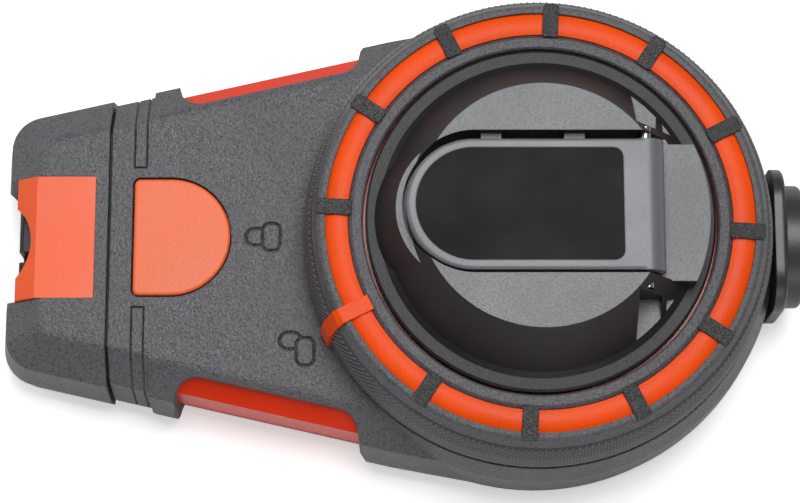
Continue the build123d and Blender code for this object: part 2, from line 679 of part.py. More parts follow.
# ================= Crank hub =================
CARRIER_SCREW_RADIUS = 21.0
carrier_screw_spots = [(CARRIER_SCREW_RADIUS * math.cos(math.radians(a)),
                        CARRIER_SCREW_RADIUS * math.sin(math.radians(a))) for a in (0, 120, 240)]

with BuildPart() as planet_carrier:
    add(tube(AXLE_R + RUN, 26.0, CARRIER_Z, BASE_Z[0]))
    for spot in planet_spots:
        add(tube(0, PLANET_PIN_R, 0, HUGE, *spot), mode=Mode.SUBTRACT)
    for spot in carrier_screw_spots:
        add(tube(0, SCREW_R, 0, HUGE, *spot), mode=Mode.SUBTRACT)
write(planet_carrier, "planet_carrier")

with BuildPart() as hub_base:
    add(tube(AXLE_R + RUN, HUB_SKIRT_R[0], *BASE_Z))
    for spot in carrier_screw_spots:
        add(tube(0, SCREW_R, 0, HUGE, *spot), mode=Mode.SUBTRACT)
write(hub_base, "hub_base")

for number, spot in enumerate(carrier_screw_spots, start=1):
    with BuildPart() as carrier_screw:
        add(tube(0, SCREW_R, CARRIER_Z + 0.2, BASE_Z[1] + 1, *spot))
        add(tube(0, 2.8, BASE_Z[1], BASE_Z[1] + 1.7, *spot))
    write(carrier_screw, f"carrier_screw_{number}")


def cone(bottom_r, top_r, z_low, z_high, x=0.0):
    """Upright truncated cone."""
    with BuildPart() as body:
        with Locations((x, 0, (z_low + z_high) / 2)):
            Cone(bottom_r, top_r, z_high - z_low)
    return body.part


def slot_block(grow, z_low, z_high, right_end):
    """Slot for the folded arm: straight sides and a round left end."""
    low, high = SLOT_Y[0] - grow, SLOT_Y[1] + grow
    middle = (low + high) / 2
    with BuildPart() as block:
        with BuildSketch(Plane.XY.offset(z_low)):
            with BuildLine():
                Polyline((ARM_END_X, high), (right_end, high), (right_end, low), (ARM_END_X, low))
                ThreePointArc((ARM_END_X, low), (ARM_END_X - ARM_HALF - 0.9 - grow, middle / 2),
                              (ARM_END_X, high))
            make_face()
        extrude(amount=z_high - z_low)
    return block.part


hub_outline = revolved([(0, HUB_SKIRT_Z), (HUB_SKIRT_R[1], HUB_SKIRT_Z), (HUB_SKIRT_R[1], HUB_FLANGE_Z),
                        (HUB_FLANGE_R, HUB_FLANGE_Z), (HUB_FLANGE_R, HUB_RIM_Z - 0.6),
                        (HUB_FLANGE_R - 0.6, HUB_RIM_Z), (CONE_FOOT_R + 1.4, HUB_RIM_Z),
                        (CONE_FOOT_R, HUB_RIM_Z + 1.2), (PLATEAU_R + 0.5, HUB_TOP - 0.6),
                        (PLATEAU_R, HUB_TOP), (0, HUB_TOP)])
hub_hollow = revolved([(0, HUB_SKIRT_Z - 1), (HUB_SKIRT_R[0], HUB_SKIRT_Z - 1), (HUB_SKIRT_R[0], HUB_RIM_Z - 2),
                       (CONE_FOOT_R - HUB_WALL - 0.6, HUB_RIM_Z), (PLATEAU_R - HUB_WALL, HUB_TOP - HUB_WALL),
                       (0, HUB_TOP - HUB_WALL)])
PAD_R = 42.0
POCKET_X = (23.2, 40.0)
POCKET_Y = 21.2
POCKET_RIB_X = (29.4, 30.8)
POCKET_FLOOR = 52.0
WELL_SWING = 2.9        # room for the knob as it swings up out of its well


def knob_well(radius, z_low, z_high):
    """Long round well that the folded knob hangs in."""
    with BuildPart() as well:
        with BuildSketch(Plane.XY.offset(z_low)):
            with Locations((ARM_END_X - WELL_SWING / 2, 0)):
                SlotCenterToCenter(WELL_SWING, 2 * radius)
        extrude(amount=z_high - z_low)
    return well.part


def pocket_pair(grow, z_low, x_low, x_high):
    """Mirrored pair of blocks beside the crank hinge."""
    with BuildPart() as pair:
        for side in (1, -1):
            half = 10.0 + grow
            add(slab(x_low, x_high, half, z_low, HUGE, side * (POCKET_Y - grow + half)))
    return pair.part


with BuildPart() as hub_shape:
    add(hub_outline)
    add(cone(*LOBE_R, HUB_RIM_Z, LOBE_TOP, ARM_END_X))
with BuildPart() as arm_landing:
    add(slab(HINGE_X, HUGE, ARM_HALF + 0.9, HUB_RIM_Z - 1, SLOT_FLOOR))
    add(tube(0, PAD_R, 0, HUGE), mode=Mode.INTERSECT)
with BuildPart() as channel:
    add(slot_block(1.8, SLOT_FLOOR - 2.0, HUB_TOP, PLATEAU_R))
    add(knob_well(KNOB_R + 2.4, BASE_Z[1], SLOT_FLOOR))
    add(tube(0, 10.6, BASE_Z[1], SLOT_FLOOR))
    add(pocket_pair(1.8, POCKET_FLOOR - 1.8, POCKET_X[0] - 1.8, POCKET_X[1] + 1.8))
    add(hub_shape.part, mode=Mode.INTERSECT)
with BuildPart() as crank_hub:
    add(hub_shape.part)
    add(hub_hollow, mode=Mode.SUBTRACT)
    add(cone(LOBE_R[0] - HUB_WALL, LOBE_R[1] - HUB_WALL, HUB_RIM_Z - 0.01, LOBE_TOP - HUB_WALL, ARM_END_X),
        mode=Mode.SUBTRACT)
    add(channel.part)
    add(arm_landing.part)
    add(slot_block(0, SLOT_FLOOR, HUGE, HUGE), mode=Mode.SUBTRACT)
    add(knob_well(KNOB_R + 1.0, BASE_Z[1], HUGE), mode=Mode.SUBTRACT)
    add(tube(0, 9.0, BASE_Z[1], SLOT_FLOOR + 1), mode=Mode.SUBTRACT)
    add(pocket_pair(0, POCKET_FLOOR, POCKET_X[0], POCKET_RIB_X[0]), mode=Mode.SUBTRACT)
    add(pocket_pair(0, POCKET_FLOOR, POCKET_RIB_X[1], POCKET_X[1]), mode=Mode.SUBTRACT)
    for x in (-12.8, 7.9):
        add(slab(x - 2.6, x + 2.6, 0.9, SLOT_FLOOR - 1, LOBE_TOP + 1, SLOT_Y[1] - 0.7))
    with Locations(Plane((HINGE_X, 0, HINGE_Z), z_dir=(0, 1, 0))):
        Cylinder(HINGE_PIN_R, 2 * (POCKET_Y - 0.6), mode=Mode.SUBTRACT)
write(crank_hub, "crank_hub")

with BuildPart(Plane((HINGE_X, 0, HINGE_Z), z_dir=(0, 1, 0))) as hinge_pin:
    Cylinder(HINGE_PIN_R, 2 * (POCKET_Y - 0.8))
write(hinge_pin, "hinge_pin")


# ================= Crank arm, label and knob =================
ARM_SHELL = 2.4
LABEL_X = (-31.4, 19.6)
LABEL_DEPTH = 0.5
KNOB_PIN_R = 3.0
KNOB_PIN_HEAD = (5.2, 1.6)


def arm_plan(inset, right_end, corner_r):
    """Plan of the arm or of its label: round left end, straight sides."""
    half = ARM_HALF - inset
    with BuildSketch() as plan:
        with BuildLine():
            Polyline((ARM_END_X, half), (right_end, half), (right_end, -half), (ARM_END_X, -half))
            ThreePointArc((ARM_END_X, -half), (ARM_END_X - half, 0), (ARM_END_X, half))
        make_face()
        if corner_r:
            fillet(plan.vertices().group_by(Axis.X)[-1], corner_r)
    return plan.sketch


barrel_r = ARM_Z[1] - HINGE_Z
with BuildPart() as crank_arm:
    with BuildSketch(Plane.XY.offset(ARM_Z[0])):
        add(arm_plan(0, HINGE_X, 0))
    extrude(amount=ARM_Z[1] - ARM_Z[0])
    fillet(crank_arm.edges().group_by(Axis.Z)[-1].filter_by(lambda e: e.center().X < HINGE_X - 1), 0.9)
    with BuildSketch(Plane.XY.offset(ARM_Z[0])):
        add(arm_plan(ARM_SHELL, HINGE_X - barrel_r - 1.5, 2.0))
    extrude(amount=ARM_Z[1] - ARM_Z[0] - ARM_SHELL, mode=Mode.SUBTRACT)
    for x in (-4.0, 6.0):
        add(slab(x, x + 1.4, ARM_HALF - 1, ARM_Z[0], ARM_Z[1] - 1))
    add(tube(0, 7.0, ARM_Z[0], ARM_Z[1] - 1, ARM_END_X))
    with Locations(Plane((HINGE_X, 0, HINGE_Z), z_dir=(0, 1, 0))):
        Cylinder(barrel_r, 2 * ARM_HALF)
    with BuildSketch(Plane.XY.offset(ARM_Z[1] - LABEL_DEPTH)):
        add(arm_plan(2.4, LABEL_X[1], 2.5))
    extrude(amount=1, mode=Mode.SUBTRACT)
    with Locations(Plane((HINGE_X, 0, HINGE_Z), z_dir=(0, 1, 0))):
        Cylinder(HINGE_PIN_R + RUN, 3 * ARM_HALF, mode=Mode.SUBTRACT)
    add(tube(0, KNOB_PIN_R, 0, ARM_Z[1] - ARM_SHELL, ARM_END_X), mode=Mode.SUBTRACT)
write(crank_arm, "crank_arm")

with BuildPart() as arm_label:
    with BuildSketch(Plane.XY.offset(ARM_Z[1] - LABEL_DEPTH)):
        add(arm_plan(2.4, LABEL_X[1], 2.5))
    extrude(amount=LABEL_DEPTH - 0.1)
write(arm_label, "arm_label")

with BuildPart() as knob_pin:
    add(tube(0, KNOB_PIN_R, KNOB_Z[0] + 1.0, ARM_Z[1] - ARM_SHELL, ARM_END_X))
    add(tube(0, KNOB_PIN_HEAD[0], KNOB_Z[0] + 0.6, KNOB_Z[0] + 0.6 + KNOB_PIN_HEAD[1], ARM_END_X))
write(knob_pin, "knob_pin")

with BuildPart() as crank_knob:
    add(tube(0, KNOB_R, KNOB_Z[0], KNOB_Z[1], ARM_END_X))
    fillet(crank_knob.edges().group_by(Axis.Z)[0], 2.4)
    chamfer(crank_knob.edges().group_by(Axis.Z)[-1], 0.8)
    with BuildSketch(Plane.XY.offset(KNOB_Z[0] + 3)):
        with Locations((ARM_END_X, 0)):
            with PolarLocations(KNOB_R + 0.9, 12):
                Circle(1.7)
    extrude(amount=KNOB_Z[1], mode=Mode.SUBTRACT)
    add(tube(0, KNOB_PIN_R + RUN, 0, HUGE, ARM_END_X), mode=Mode.SUBTRACT)
    add(tube(0, KNOB_PIN_HEAD[0] + SLIDE, 0, KNOB_Z[0] + 0.6 + KNOB_PIN_HEAD[1] + 0.1, ARM_END_X),
        mode=Mode.SUBTRACT)
write(crank_knob, "crank_knob")


# ================= Lock ring and brake shoe =================
rib_angles = [RIB_PHASE_DEG + index * 360 / RIB_COUNT for index in range(RIB_COUNT)]
rib_angles = [angle for angle in rib_angles if abs(angle % 360 - POINTER_DEG) > 1]
SKIRT = [(RING_OUT_R, RING_FOOT_Z), (RING_OUT_R, 32.2), (59.5, 40.0), (58.3, 45.6),
         (RING_RIM_R + 0.4, 49.4), (RING_RIM_R - 0.4, RING_TOP)]


def rib_bar(angle, r_low, r_high, z_low, z_high, width):
    """Radial bar across the ring's top."""
    with BuildPart(Plane.XY.rotated((0, 0, angle))) as bar:
        with Locations(((r_low + r_high) / 2, 0, (z_low + z_high) / 2)):
            Box(r_high - r_low, width, z_high - z_low)
        fillet(bar.edges().filter_by(Axis.Z), 0.8)
    return bar.part


cam_start = SHOE_DEG + 4.5
cam_end = SHOE_DEG + LOCK_TURN_DEG + 7.0


def cam_point(angle_deg):
    """Point of the cam's inner face, which draws in as the ring turns to its locked place."""
    fall = SHOE_TRAVEL * (angle_deg - SHOE_DEG) / LOCK_TURN_DEG
    radius = COLLAR_RING_R[0] + 0.1 - fall
    return (radius * math.cos(math.radians(angle_deg)), radius * math.sin(math.radians(angle_deg)))


with BuildPart() as cam_ramp:
    outer = (COLLAR_RING_R[0] + COLLAR_RING_R[1]) / 2
    cam_middle = (cam_start + cam_end) / 2
    rim_points = [(outer * math.cos(math.radians(a)), outer * math.sin(math.radians(a)))
                  for a in (cam_end, cam_middle, cam_start)]
    with BuildSketch(Plane.XY.offset(SHOE_Z[0] + 0.2)):
        with BuildLine():
            ThreePointArc(cam_point(cam_start), cam_point(cam_middle), cam_point(cam_end))
            Line(cam_point(cam_end), rim_points[0])
            ThreePointArc(*rim_points)
            Line(rim_points[2], cam_point(cam_start))
        make_face()
    extrude(amount=SHOE_Z[1] - SHOE_Z[0] - 0.2)

# The orange pointer lies over the rim and down the skirt.
POINTER_PROFILE = [(CHANNEL_R[0] - 0.8, RING_TOP - 1.6), (CHANNEL_R[0] - 0.8, RING_TOP + 0.5),
                   (RING_RIM_R + 0.2, RING_TOP + 0.7), (RING_RIM_R + 1.6, RING_TOP - 0.4),
                   (60.5, 42.0), (61.5, 33.5), (61.2, RING_FOOT_Z + 0.6), (59.2, RING_FOOT_Z + 0.6),
                   (58.2, 42.0), (56.2, 47.4), (54.6, RING_TOP - 1.6)]
pointer_turn = math.radians(POINTER_DEG)
pointer_plane = Plane((0, 0, 0), x_dir=(math.cos(pointer_turn), math.sin(pointer_turn), 0),
                      z_dir=(math.sin(pointer_turn), -math.cos(pointer_turn), 0))
with BuildPart() as pointer:
    with BuildSketch(pointer_plane):
        Polygon(*POINTER_PROFILE, align=None)
    extrude(amount=RIB_WIDTH / 2, both=True)
RIB_Z = (RING_TOP - 1.6, RING_TOP + 0.6)

with BuildPart() as lock_ring:
    add(revolved(SKIRT + [(CHANNEL_R[1], RING_TOP), (CHANNEL_R[1], CHANNEL_Z), (CHANNEL_R[0], CHANNEL_Z),
                          (CHANNEL_R[0], RING_TOP - CHANNEL_SLOPE), (CHANNEL_R[0] - CHANNEL_SLOPE, RING_TOP),
                          (RING_IN_R + 0.5, RING_TOP), (RING_IN_R, RING_TOP - 0.5),
                          (RING_IN_R, 46.7), (COLLAR_RING_R[0], 46.7), (COLLAR_RING_R[0], BEARING_TOP - 1.3),
                          (COLLAR_RING_R[1], BEARING_TOP - 1.3), (COLLAR_RING_R[1], 45.2), (54.0, 45.2),
                          (57.2, 37.0), (58.0, RING_FOOT_Z)]))
    for angle in rib_angles:
        add(rib_bar(angle, CHANNEL_R[0] - 0.8, RING_RIM_R + 0.6, *RIB_Z, RIB_WIDTH))
    for middle in (30, 100, 270):
        add(sector(COLLAR_RING_R[0] - 1.4, COLLAR_RING_R[0] + 0.5, 40.8, 43.0, middle, 24))
    add(cam_ramp.part)
    add(pointer.part, mode=Mode.SUBTRACT)
write(lock_ring, "lock_ring")

with BuildPart() as ring_inlay:
    with BuildSketch(Plane.XZ):
        with BuildLine():
            inner_edge = (CHANNEL_R[0], INLAY_EDGE_Z[0])
            outer_edge = (CHANNEL_R[1], INLAY_EDGE_Z[1])
            Polyline(inner_edge, (CHANNEL_R[0], CHANNEL_Z), (CHANNEL_R[1], CHANNEL_Z), outer_edge)
            ThreePointArc(outer_edge, INLAY_CROWN, inner_edge)
        make_face()
    revolve(axis=Axis.Z)
    for angle in rib_angles:
        add(rib_bar(angle, CHANNEL_R[0] - 0.8, RING_RIM_R + 0.6, *RIB_Z, RIB_WIDTH), mode=Mode.SUBTRACT)
    add(pointer.part)
write(ring_inlay, "ring_inlay")

SHOE_X = (42.0, 47.3)
PAD_T = 1.4
with BuildPart(shoe_plane) as lock_shoe:
    with Locations(((SHOE_X[0] + PAD_T + SHOE_X[1]) / 2, 0, (SHOE_Z[0] + SHOE_Z[1]) / 2)):
        Box(SHOE_X[1] - SHOE_X[0] - PAD_T, 2 * SHOE_HALF, SHOE_Z[1] - SHOE_Z[0])
    fillet(lock_shoe.edges().filter_by(Axis.Z).sort_by(SortBy.DISTANCE)[-2:], 1.4)
write(lock_shoe, "lock_shoe")

with BuildPart(shoe_plane) as shoe_pad:
    with Locations((SHOE_X[0] + PAD_T / 2 - 0.5, 0, (SHOE_Z[0] + SHOE_Z[1]) / 2)):
        Box(PAD_T + 1, 2 * SHOE_HALF, SHOE_Z[1] - SHOE_Z[0])
    add(tube(0, SHOE_X[0], 0, HUGE), mode=Mode.SUBTRACT)
write(shoe_pad, "shoe_pad")


# ================= Release button and catch =================
with BuildPart() as release_button:
    add(button_block(0, *BUTTON_Z))
    fillet(release_button.edges().group_by(Axis.Z)[-1], 0.8)
    add(tube(0, 3.4, 0, SPRING_Z[1], SPRING_X), mode=Mode.SUBTRACT)
write(release_button, "release_button")

CATCH_BAR_Z = (15.2, 17.2)
with BuildPart() as latch_catch:
    for side in (1, -1):
        middle_y = side * (CATCH_Y[0] + CATCH_Y[1]) / 2
        add(slab(*CATCH_X, (CATCH_Y[1] - CATCH_Y[0]) / 2, CATCH_BAR_Z[0], BUTTON_Z[0], middle_y))
    add(slab(*CATCH_X, CATCH_Y[1], *CATCH_BAR_Z))
write(latch_catch, "latch_catch")


# ================= Pull-off nose =================
FELT_HALF = 8.0
FELT_Z = (5.5, 18.5)
with BuildPart() as spigot:
    add(spigot_up)
    add(spigot_down)
    add(spigot_in_up, mode=Mode.SUBTRACT)
    add(spigot_in_down, mode=Mode.SUBTRACT)
    add(slab(NOSE_FACE_X - 3, SPIGOT_END_X), mode=Mode.INTERSECT)
with BuildPart() as spigot_root:
    add(cavity_up)
    add(cavity_down)
    add(spigot_in_up, mode=Mode.SUBTRACT)
    add(spigot_in_down, mode=Mode.SUBTRACT)
    add(slab(NOSE_FACE_X - 3, NOSE_FACE_X), mode=Mode.INTERSECT)
with BuildPart() as nose_middle:
    add(core_up)
    add(core_down)
    add(slab(-HUGE, NOSE_FACE_X, MOUTH_HALF), mode=Mode.INTERSECT)
with BuildPart() as mouth_insert:
    with BuildSketch(Plane.XZ.offset(-MOUTH_HALF)):
        Polygon((INSERT_BACK_X, BODY_TOP - 4), (INSERT_BACK_X, BODY_TOP), (INSERT_EDGE_X, BODY_TOP),
                (INSERT_FRONT_X, POCKET_TOP + 0.8), (INSERT_FRONT_X, POCKET_TOP - 3),
                (INSERT_EDGE_X, POCKET_TOP - 3), align=None)
    extrude(amount=2 * MOUTH_HALF)
mouth_pocket = slab(-HUGE, POCKET_BACK_X, POCKET_HALF, -1, POCKET_TOP)
finger_notch = tube(0, NOTCH_R, 0, HUGE, INSERT_FRONT_X + NOTCH_DEPTH - NOTCH_R, LINE_Y / 2 + 1)

with BuildPart() as nose_core:
    add(core_up)
    add(core_down)
    add(nose_stretch, mode=Mode.INTERSECT)
    add(cavity_up, mode=Mode.SUBTRACT)
    add(cavity_down, mode=Mode.SUBTRACT)
    add(nose_middle.part)
    add(mouth_insert.part)
    add(spigot_root.part)
    add(spigot.part)
    add(slab(NOSE_FACE_X - 2, TONGUE_END_X, TONGUE_HALF, *TONGUE_Z))
    add(slab(TONGUE_END_X - 1.8, TONGUE_END_X, TONGUE_HALF, CATCH_BAR_Z[1] + SLIDE, TONGUE_Z[1]))
    add(mouth_pocket, mode=Mode.SUBTRACT)
    add(finger_notch, mode=Mode.SUBTRACT)
    add(slab(CHAMBER_X, NOSE_FACE_X + 1, FELT_HALF, *FELT_Z, LINE_Y), mode=Mode.SUBTRACT)
    add(tube_x(0, 2.0, POCKET_BACK_X - 1, CHAMBER_X + 1, LINE_Y, LINE_Z), mode=Mode.SUBTRACT)
write(nose_core, "nose_core")

with BuildPart() as nose_overmold:
    add(outer_up)
    add(outer_down)
    add(core_up, mode=Mode.SUBTRACT)
    add(core_down, mode=Mode.SUBTRACT)
    add(nose_stretch, mode=Mode.INTERSECT)
    add(slab(-HUGE, INSERT_BACK_X, MOUTH_HALF, POCKET_TOP - 3), mode=Mode.SUBTRACT)
    add(slab(-HUGE, INSERT_FRONT_X + 1.2, MOUTH_HALF), mode=Mode.SUBTRACT)
    add(mouth_pocket, mode=Mode.SUBTRACT)
write(nose_overmold, "nose_overmold")

with BuildPart() as nose_seal:
    add(core_up)
    add(core_down)
    add(cavity_up, mode=Mode.SUBTRACT)
    add(cavity_down, mode=Mode.SUBTRACT)
    add(slab(NOSE_FACE_X, NECK_FACE_X - 0.1), mode=Mode.INTERSECT)
write(nose_seal, "nose_seal")

for number in (1, 2):
    felt_x = CHAMBER_X + 0.2 + (number - 1) * (FELT_T + 0.3)
    with BuildPart() as felt_wiper:
        add(slab(felt_x, felt_x + FELT_T, FELT_HALF, *FELT_Z, LINE_Y))
        add(tube_x(0, LINE_R + SLIDE, -HUGE, HUGE, LINE_Y, LINE_Z), mode=Mode.SUBTRACT)
    write(felt_wiper, f"felt_wiper_{number}")

with BuildPart() as line_eyelet:
    add(tube_x(LINE_R + SLIDE, 2.0, POCKET_BACK_X, CHAMBER_X, LINE_Y, LINE_Z))
    add(tube_x(LINE_R + SLIDE, 3.4, POCKET_BACK_X - 0.9, POCKET_BACK_X, LINE_Y, LINE_Z))
write(line_eyelet, "line_eyelet")


# ================= Line hook =================
HOOK_SLOT = 2.9
HOOK_SLOT_Z = 13.6
CRIMP_R = 1.5
with BuildPart() as line_hook:
    add(slab(HOOK_X, HOOK_X + STEEL, HOOK_HALF, *HOOK_Z))
    add(slab(HOOK_X, HOOK_X + 5.2, HOOK_HALF, HOOK_Z[1] - STEEL, HOOK_Z[1]))
    fillet(line_hook.edges().filter_by(Axis.Y).filter_by(lambda e: e.center().X < HOOK_X + 0.1
                                                         and e.center().Z > HOOK_Z[1] - 0.1), 1.2)
    add(slab(HOOK_X - 1, HOOK_X + 9, HOOK_SLOT / 2, HOOK_SLOT_Z, HUGE, LINE_Y), mode=Mode.SUBTRACT)
    add(tube_x(0, LINE_R + 0.1, HOOK_X - 1, HOOK_X + 3, LINE_Y, LINE_Z - 0.4), mode=Mode.SUBTRACT)
write(line_hook, "line_hook")

with BuildPart() as line_crimp:
    add(tube_x(LINE_R, CRIMP_R, HOOK_X + STEEL, HOOK_X + STEEL + 4.2, LINE_Y, LINE_Z))
write(line_crimp, "line_crimp")

with BuildPart() as line_lead:
    add(tube_x(0, LINE_R, HOOK_X + STEEL, LEAD_END_X, LINE_Y, LINE_Z))
write(line_lead, "line_lead")


# ================= Tail plug =================
with BuildPart() as tail_plug:
    add(tube_x(0, CAP_R, COLLAR_X[1], CAP_END_X, 0, PORT_Z))
    fillet(tail_plug.edges().group_by(Axis.X)[-1], 1.3)
    add(tube_x(0, PORT_R - SLIDE, SOCKET_DEPTH_X + 2, COLLAR_X[1], 0, PORT_Z))
    add(tube_x(0, PORT_R - 2.2, SOCKET_DEPTH_X, COLLAR_X[1] + 1.5, 0, PORT_Z), mode=Mode.SUBTRACT)
    add(tube_x(PORT_R - 1.2, PORT_R + 1, COLLAR_X[1] - 6, COLLAR_X[1] - 4.4, 0, PORT_Z), mode=Mode.SUBTRACT)
write(tail_plug, "tail_plug")

with BuildPart() as plug_seal:
    add(tube_x(PORT_R - 1.2, PORT_R - 0.05, COLLAR_X[1] - 5.9, COLLAR_X[1] - 4.5, 0, PORT_Z))
write(plug_seal, "plug_seal")
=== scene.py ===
"""Looks for the chalk line reel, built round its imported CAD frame. Metres throughout."""

import logging
import math
from dataclasses import dataclass, field, replace
from enum import Enum
from typing import Any

import bmesh
import bpy
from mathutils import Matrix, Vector


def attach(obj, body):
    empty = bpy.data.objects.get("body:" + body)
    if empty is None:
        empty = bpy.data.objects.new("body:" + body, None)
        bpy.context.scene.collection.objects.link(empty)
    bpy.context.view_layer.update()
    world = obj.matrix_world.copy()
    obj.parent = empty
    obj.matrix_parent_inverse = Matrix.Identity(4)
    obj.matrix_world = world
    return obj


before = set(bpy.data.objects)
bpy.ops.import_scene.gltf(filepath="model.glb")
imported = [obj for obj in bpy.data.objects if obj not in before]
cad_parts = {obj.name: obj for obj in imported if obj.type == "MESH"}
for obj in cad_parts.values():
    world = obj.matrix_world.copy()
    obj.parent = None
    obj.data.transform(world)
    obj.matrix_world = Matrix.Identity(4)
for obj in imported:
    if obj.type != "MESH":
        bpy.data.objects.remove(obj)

log = logging.getLogger("chalk_line_reel")

MM = 0.001
LIFT = "lift"
FLANK_ROUGH = 0.52
FLANK_TILT = 0.93
DECK_TILT = 0.99
GROOVE_TILT = 0.995
STEP_HALF_MM = 0.1
DRIFT_PER_M = 45.0
WANDER_M = 0.0011
DRIFT_LOW = 0.3
DRIFT_HIGH = 0.7
MOTTLE_REACH = 3
YARN_WOBBLE = 0.6
COAT_ROUGH = 0.2
CLOSE_CLIP = 0.01
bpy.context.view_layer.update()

Rgb = tuple[float, float, float]
Triple = tuple[float, float, float]


class Relief(Enum):
    """Kind of fine relief that a surface carries."""

    PEBBLED = "pebbled"
    YARN = "yarn"


@dataclass(frozen=True)
class Finish:
    """One moulded, turned or woven surface finish, with colours in display values 0 to 255."""

    name: str
    colour: Rgb
    rough: float
    grain_mm: float
    depth_mm: float
    rough_spread: float = 0.06
    mottle: float = 0.06
    metal: float = 0.0
    coat: float = 0.0
    edge_mm: float = 0.3
    stretch: Triple = (1.0, 1.0, 1.0)
    relief: Relief = Relief.PEBBLED
    # share by which relief crests are painted lighter as highlight and troughs darker as shade
    painted_grain_light: float = 0.0
    specular: float = 0.5
    crown_mm: float | None = None
    painted_sheen_above_mm: float | None = None
    knurl_valley_shade: bool = False
    groove_shade_below_mm: float | None = None
    # dark colour: painted shade on hub slopes, groove bottoms and knurl valleys, and the darker tone of
    # raised ring ribs
    dark_and_shade: Rgb = (17, 17, 18)


# grip: level faces just below the deck, the engraved marks' bottoms, get painted shade
GRIP = Finish("grip_leather_grain", (84, 84, 88), 0.42, 0.55, 0.22, rough_spread=0.10, painted_grain_light=0.34,
              edge_mm=0.6, groove_shade_below_mm=29.85)
RING_GRIP = Finish("ring_fine_grain", (80, 80, 84), 0.42, 0.45, 0.16, painted_grain_light=0.36, edge_mm=0.4,
                   crown_mm=50.25)
# knurl: this light grey on diamond peaks is painted highlight; valleys get painted shade
KNURL_GRIP = Finish("knurled_skirt", (112, 112, 114), 0.34, 0.35, 0.01, edge_mm=0.02, knurl_valley_shade=True)
TAIL_GRIP = Finish("tail_smooth_rubber", (52, 53, 54), 0.36, 0.5, 0.02, painted_grain_light=0.06, edge_mm=0.5)
SHELL = Finish("shell_orange", (226, 48, 4), 0.24, 0.4, 0.008, mottle=0.04, coat=0.1, edge_mm=0.4,
               specular=0.4)
MOUTH = replace(SHELL, name="mouth_orange", colour=(240, 88, 28), rough=0.38, grain_mm=0.5, depth_mm=0.03)
TRIM = Finish("inlay_orange", (242, 78, 8), 0.36, 0.45, 0.04, mottle=0.05, painted_grain_light=0.05, edge_mm=0.3,
              specular=0.14)
BUTTON = Finish("button_orange", (242, 108, 56), 0.42, 0.45, 0.04, mottle=0.05, painted_grain_light=0.04, edge_mm=0.5,
                specular=0.4)
# hub: this grey on level faces above 51.5 mm is painted sheen; slopes and low faces get painted shade
HUB = Finish("hub_satin", (98, 99, 102), 0.38, 0.42, 0.06, mottle=0.04, painted_grain_light=0.16, edge_mm=0.35,
             painted_sheen_above_mm=51.5)
ARM = Finish("arm_satin", (102, 105, 109), 0.36, 0.40, 0.03, mottle=0.05, painted_grain_light=0.07, edge_mm=0.6)
LABEL = Finish("label_gloss", (24, 24, 25), 0.38, 1.2, 0.02, rough_spread=0.10, edge_mm=0.1, specular=0.05)
LATCH = Finish("latch_plastic", (40, 40, 42), 0.45, 0.4, 0.01)
GEAR = Finish("gear_acetal", (214, 210, 198), 0.34, 0.6, 0.008)
SPOOL = Finish("spool_nylon", (52, 54, 58), 0.42, 0.5, 0.01)
KNOB = Finish("knob_plastic", (40, 41, 43), 0.36, 0.4, 0.03, painted_grain_light=0.1, edge_mm=0.5)
SEAL = Finish("seal_rubber", (26, 26, 27), 0.62, 0.4, 0.02)
BRAKE = Finish("brake_pad", (96, 74, 60), 0.80, 0.5, 0.08, mottle=0.18, painted_grain_light=0.3)
FELT = Finish("felt", (176, 172, 160), 0.95, 0.35, 0.12, mottle=0.16, painted_grain_light=0.12, stretch=(1.0, 1.0, 3.0))
COTTON = Finish("line_cotton", (222, 216, 202), 0.88, 0.9, 0.10, mottle=0.10, painted_grain_light=0.14,
                relief=Relief.YARN)
HOOK = Finish("hook_black_steel", (20, 20, 22), 0.36, 0.35, 0.015, metal=0.35, edge_mm=0.3)
STEEL = Finish("turned_steel", (176, 178, 182), 0.26, 0.5, 0.004, metal=1.0, edge_mm=0.15,
               stretch=(1.0, 1.0, 14.0))
SPRING = replace(STEEL, name="spring_wire", colour=(150, 152, 156), rough=0.30, edge_mm=0.02)


def linear(rgb: Rgb) -> tuple[float, float, float, float]:
    """Turns a display colour into the linear RGBA that shader sockets hold.

    Args:
        rgb: Display values, 0 to 255.

    Returns:
        Linear red, green, blue and an alpha of 1.
    """
    parts = [value / 255 for value in rgb]
    lin = [p / 12.92 if p <= 0.04045 else ((p + 0.055) / 1.055) ** 2.4 for p in parts]
    return lin[0], lin[1], lin[2], 1.0


class Wiring:
    """A short way to add and join nodes in one shader tree."""

    def __init__(self, tree: bpy.types.NodeTree) -> None:
        """Starts on a tree, keeping what is in it."""
        self.tree = tree

    def add(self, kind: str, inputs: dict[str | int, Any] | None = None, **settings: Any) -> bpy.types.Node:
        """Adds a node, sets its properties, and sets or joins its inputs.

        Args:
            kind: Blender's name of the node type.
            inputs: Values, or output sockets to join, by input name or place.
            **settings: Properties of the node itself.

        Returns:
            The new node.
        """
        node = self.tree.nodes.new(kind)
        for key, value in settings.items():
            setattr(node, key, value)
        for key, value in (inputs or {}).items():
            if isinstance(value, bpy.types.NodeSocket):
                self.tree.links.new(value, node.inputs[key])
            else:
                node.inputs[key].default_value = value
        return node


